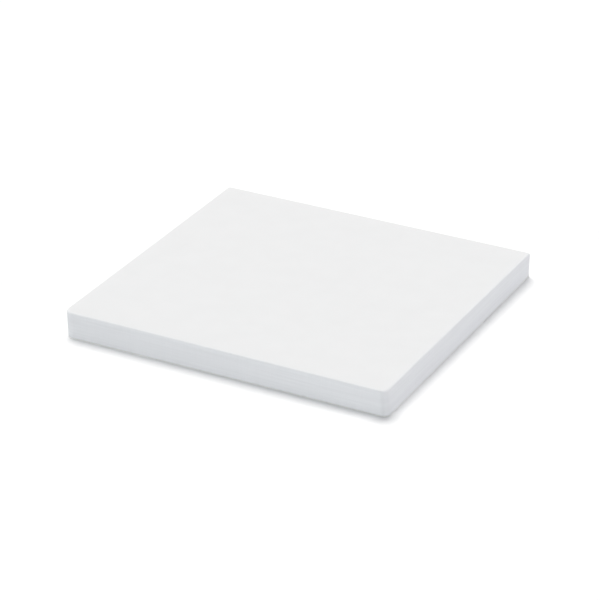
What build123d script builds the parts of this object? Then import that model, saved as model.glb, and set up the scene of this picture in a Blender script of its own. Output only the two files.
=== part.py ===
from build123d import *
import os

# A pad of repositionable sticky notes, blank and unopened, lying flat.
#
# The notes are sheets of plain white paper, jogged into one stack and trimmed together with the
# backing sheet, so all four sides are cut flush. Each note carries a band of low-tack glue on its
# underside along one edge, and that band holds it to the note below. The last note's band holds
# the backing sheet, which keeps the glue off the desk until the last note is used.
#
# Units are millimetres. X runs along the glued edge, Y from the free edge towards the glued edge,
# and Z up through the stack. The origin is the centre of the underside, on the desk.

# Outline of the trimmed pad
pad_width = 76.2  # along the glued edge
pad_depth = 69.85  # from the free edge to the glued edge
corner_radius = 0.7  # the cut corners, blunted a little by handling

# Stack of notes
note_count = 50
note_pitch = 0.114  # one sheet, with its share of the glue and of the air between sheets
top_rim_radius = 0.45  # the knife presses the topmost edges over as it enters the stack

# Glue under the last note
glue_band_width = 14.0  # from the glued edge inwards
glue_thickness = 0.03

# Backing sheet
backing_thickness = 0.12

# Heights, from the desk up
glue_bottom = backing_thickness
notes_bottom = glue_bottom + glue_thickness
notes_height = note_count * note_pitch


def trimmed_slab(bottom, thickness):
    """A slab with the pad's trimmed outline, standing on the height bottom."""
    outline = RectangleRounded(pad_width, pad_depth, corner_radius)
    return Pos(0, 0, bottom) * extrude(outline, thickness)


def make_note_sheets():
    """All the notes as one block, with the rim of the top note pressed over."""
    block = trimmed_slab(notes_bottom, notes_height)
    rim = block.faces().sort_by(Axis.Z)[-1].edges()
    return fillet(rim, top_rim_radius)


def make_adhesive_strip():
    """The last note's band of glue, trimmed with the pad along the glued edge and both sides."""
    coat = trimmed_slab(glue_bottom, glue_thickness)
    band_centre = pad_depth / 2 - glue_band_width / 2
    band = Pos(0, band_centre, glue_bottom + glue_thickness / 2) * Box(
        pad_width, glue_band_width, glue_thickness
    )
    return coat & band


def make_backing_sheet():
    """The coated sheet under the last note."""
    return trimmed_slab(0, backing_thickness)


pieces = {
    "note_sheets": make_note_sheets(),
    "adhesive_strip": make_adhesive_strip(),
    "backing_sheet": make_backing_sheet(),
}

os.makedirs("parts", exist_ok=True)
for name, piece in pieces.items():
    export_step(piece, f"parts/{name}.step")
    size = piece.bounding_box().size
    print(f"{name}: {size.X:.2f} x {size.Y:.2f} x {size.Z:.3f} mm, {piece.volume:.1f} mm3")
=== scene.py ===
import math
import random

import bpy
from mathutils import Matrix, Vector


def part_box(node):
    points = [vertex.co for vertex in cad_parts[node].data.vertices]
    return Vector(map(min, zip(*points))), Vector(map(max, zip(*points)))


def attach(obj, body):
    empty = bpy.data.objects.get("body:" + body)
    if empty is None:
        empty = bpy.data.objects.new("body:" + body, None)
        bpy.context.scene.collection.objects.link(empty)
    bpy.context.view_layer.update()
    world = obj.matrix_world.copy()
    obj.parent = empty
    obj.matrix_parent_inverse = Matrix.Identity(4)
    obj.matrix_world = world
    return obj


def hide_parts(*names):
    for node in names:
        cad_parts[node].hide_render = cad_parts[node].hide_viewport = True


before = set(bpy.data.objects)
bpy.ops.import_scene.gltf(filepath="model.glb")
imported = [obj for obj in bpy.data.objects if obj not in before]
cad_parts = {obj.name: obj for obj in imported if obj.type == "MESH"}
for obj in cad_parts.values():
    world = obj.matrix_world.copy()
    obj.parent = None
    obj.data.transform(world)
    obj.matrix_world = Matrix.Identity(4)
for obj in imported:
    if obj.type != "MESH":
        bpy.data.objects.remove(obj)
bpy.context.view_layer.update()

mm = 0.001
notesLow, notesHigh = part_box("note_sheets")
backingLow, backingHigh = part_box("backing_sheet")
noteCount = 50
notePitch = (notesHigh.z - notesLow.z) / noteCount


def linear(hexColour):
    # the usual sRGB curve, from a hex value to a shader's four numbers
    channels = [int(hexColour[i:i + 2], 16) / 255 for i in (1, 3, 5)]
    return [c / 12.92 if c <= 0.04045 else ((c + 0.055) / 1.055) ** 2.4 for c in channels] + [1.0]


def addNode(tree, kind, settings=None, links=None):
    node = tree.nodes.new(kind)
    for name, value in (settings or {}).items():
        if isinstance(name, str) and name not in node.inputs:
            setattr(node, name, value)
        else:
            node.inputs[name].default_value = value
    for name, source in (links or {}).items():
        tree.links.new(source, node.inputs[name])
    return node


def newMaterial(name):
    material = bpy.data.materials.new(name)
    material.use_nodes = True
    material.node_tree.nodes.clear()
    return material, material.node_tree


# where the darker tone ends and the lighter one is full, on a noise that keeps near 0.5
tone = {"from": 0.35, "to": 0.65}


def twoTone(tree, height, paper):
    colour = addNode(tree, "ShaderNodeValToRGB", {}, {"Fac": height})
    first, last = colour.color_ramp.elements
    first.position, last.position = tone["from"], tone["to"]
    first.color, last.color = linear(paper["dark"]), linear(paper["light"])
    return colour.outputs["Color"]


# uncoated 80 g bond: a matt, faintly uneven white with no sheen
# its real fibres are 0.02 mm wide, so they are drawn coarser, to show at all
bond = {"light": "#F3F3F3", "dark": "#F1F1F1", "cloudMm": 5.0, "cloudDetail": 2.0, "cloudShare": 0.5,
        "fibreMm": 0.45, "fibreDetail": 5.0, "fibreRoughness": 0.65, "fibreTwist": 1.2,
        "bumpMm": 0.006, "bumpStrength": 0.5, "roughness": 0.9, "specular": 0.3}


def bondPaper():
    material, tree = newMaterial("uncoatedBondPaper")
    place = addNode(tree, "ShaderNodeTexCoord").outputs["Object"]
    cloud = addNode(tree, "ShaderNodeTexNoise",
                    {"Scale": 1 / (bond["cloudMm"] * mm), "Detail": bond["cloudDetail"]}, {"Vector": place})
    fibre = addNode(tree, "ShaderNodeTexNoise",
                    {"Scale": 1 / (bond["fibreMm"] * mm), "Detail": bond["fibreDetail"],
                     "Roughness": bond["fibreRoughness"], "Distortion": bond["fibreTwist"]},
                    {"Vector": place})
    both = addNode(tree, "ShaderNodeMix", {"Factor": bond["cloudShare"]},
                   {"A": fibre.outputs["Fac"], "B": cloud.outputs["Fac"]})
    bump = addNode(tree, "ShaderNodeBump",
                   {"Strength": bond["bumpStrength"], "Distance": bond["bumpMm"] * mm},
                   {"Height": fibre.outputs["Fac"]})
    shader = addNode(tree, "ShaderNodeBsdfPrincipled",
                     {"Roughness": bond["roughness"], "Specular IOR Level": bond["specular"]},
                     {"Base Color": twoTone(tree, both.outputs["Result"], bond),
                      "Normal": bump.outputs["Normal"]})
    addNode(tree, "ShaderNodeOutputMaterial", {}, {"Surface": shader.outputs["BSDF"]})
    return material


# the same paper cut by a guillotine: each sheet's edge differs a little from the next, and the
# blade leaves faint upright marks, so the sides look like fine layers and not like a solid block
# one sheet is too fine to show, so the layers are drawn three sheets thick
cut = {"light": "#EDEDED", "dark": "#E9E9E9", "layerSheets": 3, "dashMm": 14.0, "bladeMm": 0.33,
       "bladeLongMm": 25.0, "bladeShare": 0.25, "detail": 2.0, "roughness": 0.95, "specular": 0.2}


def cutEdges():
    material, tree = newMaterial("guillotinedPaperEdges")
    place = addNode(tree, "ShaderNodeTexCoord").outputs["Object"]
    dash, blade, long = (1 / (cut[k] * mm) for k in ("dashMm", "bladeMm", "bladeLongMm"))
    layer = 1 / (cut["layerSheets"] * notePitch)
    noises = []
    for scale in ((dash, dash, layer), (blade, blade, long)):
        # the Mapping node stretches the pattern, so the noise's own scale stays 1
        stretched = addNode(tree, "ShaderNodeMapping", {"Scale": scale}, {"Vector": place})
        noises.append(addNode(tree, "ShaderNodeTexNoise", {"Scale": 1.0, "Detail": cut["detail"]},
                              {"Vector": stretched.outputs["Vector"]}))
    layers, marks = noises
    both = addNode(tree, "ShaderNodeMix", {"Factor": cut["bladeShare"]},
                   {"A": layers.outputs["Fac"], "B": marks.outputs["Fac"]})
    shader = addNode(tree, "ShaderNodeBsdfPrincipled",
                     {"Roughness": cut["roughness"], "Specular IOR Level": cut["specular"]},
                     {"Base Color": twoTone(tree, both.outputs["Result"], cut)})
    addNode(tree, "ShaderNodeOutputMaterial", {}, {"Surface": shader.outputs["BSDF"]})
    return material


# glassine with a silicone coat: smoother than the notes and slightly shiny, with a cloudy
# look from the pressed fibres
liner = {"light": "#F1F0EA", "dark": "#E9E8E0", "cloudMm": 1.6, "cloudDetail": 4.0, "rippleMm": 3.0,
         "rippleDetail": 1.0, "bumpMm": 0.01, "bumpStrength": 0.4, "roughness": 0.38}


def releaseLiner():
    material, tree = newMaterial("siliconisedGlassine")
    place = addNode(tree, "ShaderNodeTexCoord").outputs["Object"]
    cloud = addNode(tree, "ShaderNodeTexNoise",
                    {"Scale": 1 / (liner["cloudMm"] * mm), "Detail": liner["cloudDetail"]},
                    {"Vector": place})
    ripple = addNode(tree, "ShaderNodeTexNoise",
                     {"Scale": 1 / (liner["rippleMm"] * mm), "Detail": liner["rippleDetail"]},
                     {"Vector": place})
    bump = addNode(tree, "ShaderNodeBump",
                   {"Strength": liner["bumpStrength"], "Distance": liner["bumpMm"] * mm},
                   {"Height": ripple.outputs["Fac"]})
    shader = addNode(tree, "ShaderNodeBsdfPrincipled", {"Roughness": liner["roughness"]},
                     {"Base Color": twoTone(tree, cloud.outputs["Fac"], liner),
                      "Normal": bump.outputs["Normal"]})
    addNode(tree, "ShaderNodeOutputMaterial", {}, {"Surface": shader.outputs["BSDF"]})
    return material


# low-tack acrylic glue: a thin milky coat made of tiny soft balls, so it is bumpy and half matt
# the balls are 0.03 mm across and are drawn at 0.1 mm
glue = {"light": "#F4F3EC", "dark": "#E6E4DA", "ballMm": 0.1, "bumpMm": 0.01, "bumpStrength": 0.6,
        "roughness": 0.5}


def acrylicGlue():
    material, tree = newMaterial("lowTackAcrylicGlue")
    place = addNode(tree, "ShaderNodeTexCoord").outputs["Object"]
    balls = addNode(tree, "ShaderNodeTexVoronoi", {"Scale": 1 / (glue["ballMm"] * mm)}, {"Vector": place})
    bump = addNode(tree, "ShaderNodeBump",
                   {"Strength": glue["bumpStrength"], "Distance": glue["bumpMm"] * mm},
                   {"Height": balls.outputs["Distance"]})
    shader = addNode(tree, "ShaderNodeBsdfPrincipled", {"Roughness": glue["roughness"]},
                     {"Base Color": twoTone(tree, balls.outputs["Distance"], glue),
                      "Normal": bump.outputs["Normal"]})
    addNode(tree, "ShaderNodeOutputMaterial", {}, {"Surface": shader.outputs["BSDF"]})
    return material


print("materials ready")

# the corners by where they point in x and y, each worn to its own radius
trim = {"cornersMm": {(-1, -1): 1.9, (1, -1): 1.4, (1, 1): 0.25, (-1, 1): 0.5},
        "segments": 6, "gridMm": 2.0}


def trimmedSheet(name, low, high):
    # a flat sheet at the box's underside, left in edit mode with all of it selected
    width, depth = high.x - low.x, high.y - low.y
    bpy.ops.object.select_all(action="DESELECT")
    bpy.ops.mesh.primitive_grid_add(x_subdivisions=round(width / mm / trim["gridMm"]),
                                    y_subdivisions=round(depth / mm / trim["gridMm"]),
                                    size=1.0, location=(0, 0, low.z))
    sheet = bpy.context.object
    sheet.name = sheet.data.name = name
    sheet.scale = (width, depth, 1.0)
    bpy.ops.object.transform_apply(location=True, rotation=True, scale=True)
    for (towardsX, towardsY), radius in trim["cornersMm"].items():
        bpy.ops.object.mode_set(mode="EDIT")
        bpy.ops.mesh.select_mode(type="VERT")
        bpy.ops.mesh.select_all(action="DESELECT")
        bpy.ops.object.mode_set(mode="OBJECT")
        corner = max(sheet.data.vertices,
                     key=lambda vertex: vertex.co.x * towardsX + vertex.co.y * towardsY)
        corner.select = True
        bpy.ops.object.mode_set(mode="EDIT")
        bpy.ops.mesh.bevel(offset=radius * mm, offset_type="OFFSET", segments=trim["segments"],
                           affect="VERTICES")
        bpy.ops.object.mode_set(mode="OBJECT")
    bpy.ops.object.mode_set(mode="EDIT")
    bpy.ops.mesh.select_all(action="SELECT")
    return sheet


# 50 notes in one closed skin, with a groove between each and the next, and a top rim rounded by
# the blade's pull and by handling
# a pad is never quite square: the top note stands a little off the last one, and turned on it
stack = {"gapMm": 0.010, "grooveMm": 0.03, "rimMm": 0.45, "topSteps": 4, "jogMm": 0.008,
         "leanMm": (-0.10, 0.15), "turnDegrees": -0.40, "seed": 11, "undersideMm": 0.001,
         "smoothBelow": 35}


def noteSheets(facePaper, edgePaper):
    width, depth, height = notesHigh - notesLow
    block = trimmedSheet("noteSheets", notesLow, notesHigh)
    dice = random.Random(stack["seed"])
    gap, groove, rim = (stack[k] * mm for k in ("gapMm", "grooveMm", "rimMm"))
    now = {"inset": 0.0, "x": 0.0, "y": 0.0, "z": 0.0, "turn": 0.0}

    def rimInset(level):
        below = max(height - level, 0.0)
        return 0.0 if below >= rim else rim - math.sqrt(rim * rim - (rim - below) ** 2)

    def rise(level, inset, x, y, turn):
        # carries the selected top up to a new outline
        step = (x - now["x"], y - now["y"], level - now["z"])
        bpy.ops.mesh.extrude_region_move(TRANSFORM_OT_translate={"value": step})
        size = [(side - 2 * inset) / (side - 2 * now["inset"]) for side in (width, depth)]
        bpy.ops.transform.resize(value=(*size, 1), center_override=(x, y, 0))
        if turn != now["turn"]:
            bpy.ops.transform.rotate(value=now["turn"] - turn, orient_axis="Z", center_override=(x, y, 0))
        now.update(inset=inset, x=x, y=y, z=level, turn=turn)

    for sheet in range(noteCount):
        bottom, top = sheet * notePitch, (sheet + 1) * notePitch
        share = sheet / (noteCount - 1)
        x, y = ((lean * share + dice.gauss(0, stack["jogMm"])) * mm for lean in stack["leanMm"])
        turn = math.radians(stack["turnDegrees"]) * share
        if sheet:
            rise(bottom, rimInset(bottom), x, y, turn)
        if top < height - gap:
            rise(top - gap, rimInset(top - gap), x, y, turn)
            rise(top - gap / 2, rimInset(top - gap) + groove, x, y, turn)
        else:
            for step in range(stack["topSteps"]):
                level = bottom + notePitch * (step + 1) / stack["topSteps"]
                rise(level, rimInset(level), x, y, turn)
    bpy.ops.object.mode_set(mode="OBJECT")

    block.data.materials.append(edgePaper)
    block.data.materials.append(facePaper)
    # the top sheet and the underside are a note's face, and all the rest is cut edges
    topSheet, underside = notesHigh.z - notePitch, notesLow.z + stack["undersideMm"] * mm
    for face in block.data.polygons:
        face.material_index = 1 if face.center.z > topSheet or face.center.z < underside else 0
    bpy.ops.object.shade_smooth_by_angle(angle=math.radians(stack["smoothBelow"]))
    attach(block, "root")
    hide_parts("note_sheets")
    print("note sheets", len(block.data.polygons), "faces")


backing = {"edgeMm": 0.02, "edgeAbove": 60, "smoothBelow": 35}


def backingSheet(coating):
    # cut with the notes, so it has the same worn corners
    sheet = trimmedSheet("backingSheet", backingLow, backingHigh)
    thickness = backingHigh.z - backingLow.z
    bpy.ops.mesh.extrude_region_move(TRANSFORM_OT_translate={"value": (0, 0, thickness)})
    bpy.ops.object.mode_set(mode="OBJECT")
    bevel = sheet.modifiers.new("cutEdge", "BEVEL")
    bevel.width, bevel.segments = backing["edgeMm"] * mm, 1
    bevel.angle_limit = math.radians(backing["edgeAbove"])
    bpy.ops.object.modifier_apply(modifier="cutEdge")
    sheet.data.materials.append(coating)
    bpy.ops.object.shade_smooth_by_angle(angle=math.radians(backing["smoothBelow"]))
    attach(sheet, "root")
    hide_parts("backing_sheet")
    print("backing sheet", len(sheet.data.polygons), "faces")


noteSheets(bondPaper(), cutEdges())
backingSheet(releaseLiner())
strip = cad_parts["adhesive_strip"]
strip.data.materials.clear()
strip.data.materials.append(acrylicGlue())
print("glue strip painted")

# a broad key from high behind the left side, and low cool fills that light the upright sides
# the floor lights the pad as a pale grey, and is itself shown a little over white, so it stays plain
# it lies a hair below the pad, so that the two surfaces don't meet
studio = {"worldColour": "#F6FCFF", "worldStrength": 0.11, "bounceColour": "#CCCCCC",
          "shownGain": 1.112, "sizeM": 20, "dropMm": 0.01}
lamps = {"key": {"strength": 2.55, "angle": 40, "elevation": 66, "azimuth": 321, "colour": "#FFFEFD"},
         "rightFill": {"strength": 2.29, "angle": 14, "elevation": 4, "azimuth": 72, "colour": "#F7F9FF"},
         "leftFill": {"strength": 2.22, "angle": 14, "elevation": 4, "azimuth": 198, "colour": "#F6FAFF"},
         "backFill": {"strength": 0.70, "angle": 14, "elevation": 4, "azimuth": 315, "colour": "#FFFFFF"}}


def seenFactor(tree, names):
    # 1 for the rays that show a background, 0 for those that light the object
    rays = addNode(tree, "ShaderNodeLightPath")
    seen = rays.outputs[names[0]]
    for name in names[1:]:
        either = addNode(tree, "ShaderNodeMath", {"operation": "MAXIMUM"}, {0: seen, 1: rays.outputs[name]})
        seen = either.outputs[0]
    return seen


shownTo = ("Is Camera Ray", "Is Glossy Ray", "Is Transmission Ray")


def buildFloor():
    bpy.ops.mesh.primitive_plane_add(size=studio["sizeM"], location=(0, 0, -studio["dropMm"] * mm))
    floor = bpy.context.object
    floor.name = "floor"
    material, tree = newMaterial("backdropPaper")
    plain = addNode(tree, "ShaderNodeBsdfDiffuse", {"Color": linear(studio["bounceColour"])})
    shown = addNode(tree, "ShaderNodeBsdfDiffuse", {"Color": [studio["shownGain"]] * 3 + [1.0]})
    mix = addNode(tree, "ShaderNodeMixShader", {},
                  {0: seenFactor(tree, shownTo), 1: plain.outputs[0], 2: shown.outputs[0]})
    addNode(tree, "ShaderNodeOutputMaterial", {}, {"Surface": mix.outputs[0]})
    floor.data.materials.append(material)


def buildWorld():
    world = bpy.data.worlds.new("studio")
    bpy.context.scene.world = world
    world.use_nodes = True
    tree = world.node_tree
    tree.nodes.clear()
    plain = addNode(tree, "ShaderNodeBackground",
                    {"Color": linear(studio["worldColour"]), "Strength": studio["worldStrength"]})
    shown = addNode(tree, "ShaderNodeBackground", {"Color": (1, 1, 1, 1), "Strength": 1.0})
    mix = addNode(tree, "ShaderNodeMixShader", {},
                  {0: seenFactor(tree, shownTo), 1: plain.outputs[0], 2: shown.outputs[0]})
    addNode(tree, "ShaderNodeOutputWorld", {}, {"Surface": mix.outputs[0]})


def buildLamps():
    # azimuth is counted from +Y towards +X
    for name, lamp in lamps.items():
        bpy.ops.object.light_add(type="SUN")
        light = bpy.context.object
        light.name = name + "Light"
        light.data.energy = lamp["strength"]
        light.data.angle = math.radians(lamp["angle"])
        light.data.color = linear(lamp["colour"])[:3]
        azimuth, elevation = math.radians(lamp["azimuth"]), math.radians(lamp["elevation"])
        towards = Vector((math.sin(azimuth) * math.cos(elevation), math.cos(azimuth) * math.cos(elevation),
                          math.sin(elevation)))
        light.rotation_euler = towards.to_track_quat("Z", "Y").to_euler()


# the aim is moved sideways and up in the picture from the middle of the pad's underside
view = {"nearest": 0.01, "lensMm": 156.57, "sensorMm": 36, "distance": 0.56318, "azimuth": 28.650,
        "elevation": 27.436, "roll": -0.908, "acrossMm": -0.343, "upMm": 1.240}


def buildCamera():
    azimuth, elevation, roll = (math.radians(view[k]) for k in ("azimuth", "elevation", "roll"))
    back = Vector((math.sin(azimuth) * math.cos(elevation), -math.cos(azimuth) * math.cos(elevation),
                   math.sin(elevation)))
    right = Vector((math.cos(azimuth), math.sin(azimuth), 0))
    turn = Matrix.Rotation(roll, 3, back)
    right, up = turn @ right, turn @ back.cross(right)
    place = right * view["acrossMm"] * mm + up * view["upMm"] * mm + back * view["distance"]
    bpy.ops.object.camera_add()
    camera = bpy.context.object
    camera.data.lens = view["lensMm"]
    camera.data.sensor_width = view["sensorMm"]
    camera.data.clip_start = view["nearest"]
    camera.matrix_world = Matrix.Translation(place) @ Matrix((right, up, back)).transposed().to_4x4()
    bpy.context.scene.camera = camera


buildFloor()
buildWorld()
buildLamps()
buildCamera()
bpy.context.scene.view_settings.view_transform = "Standard"
print("studio ready")
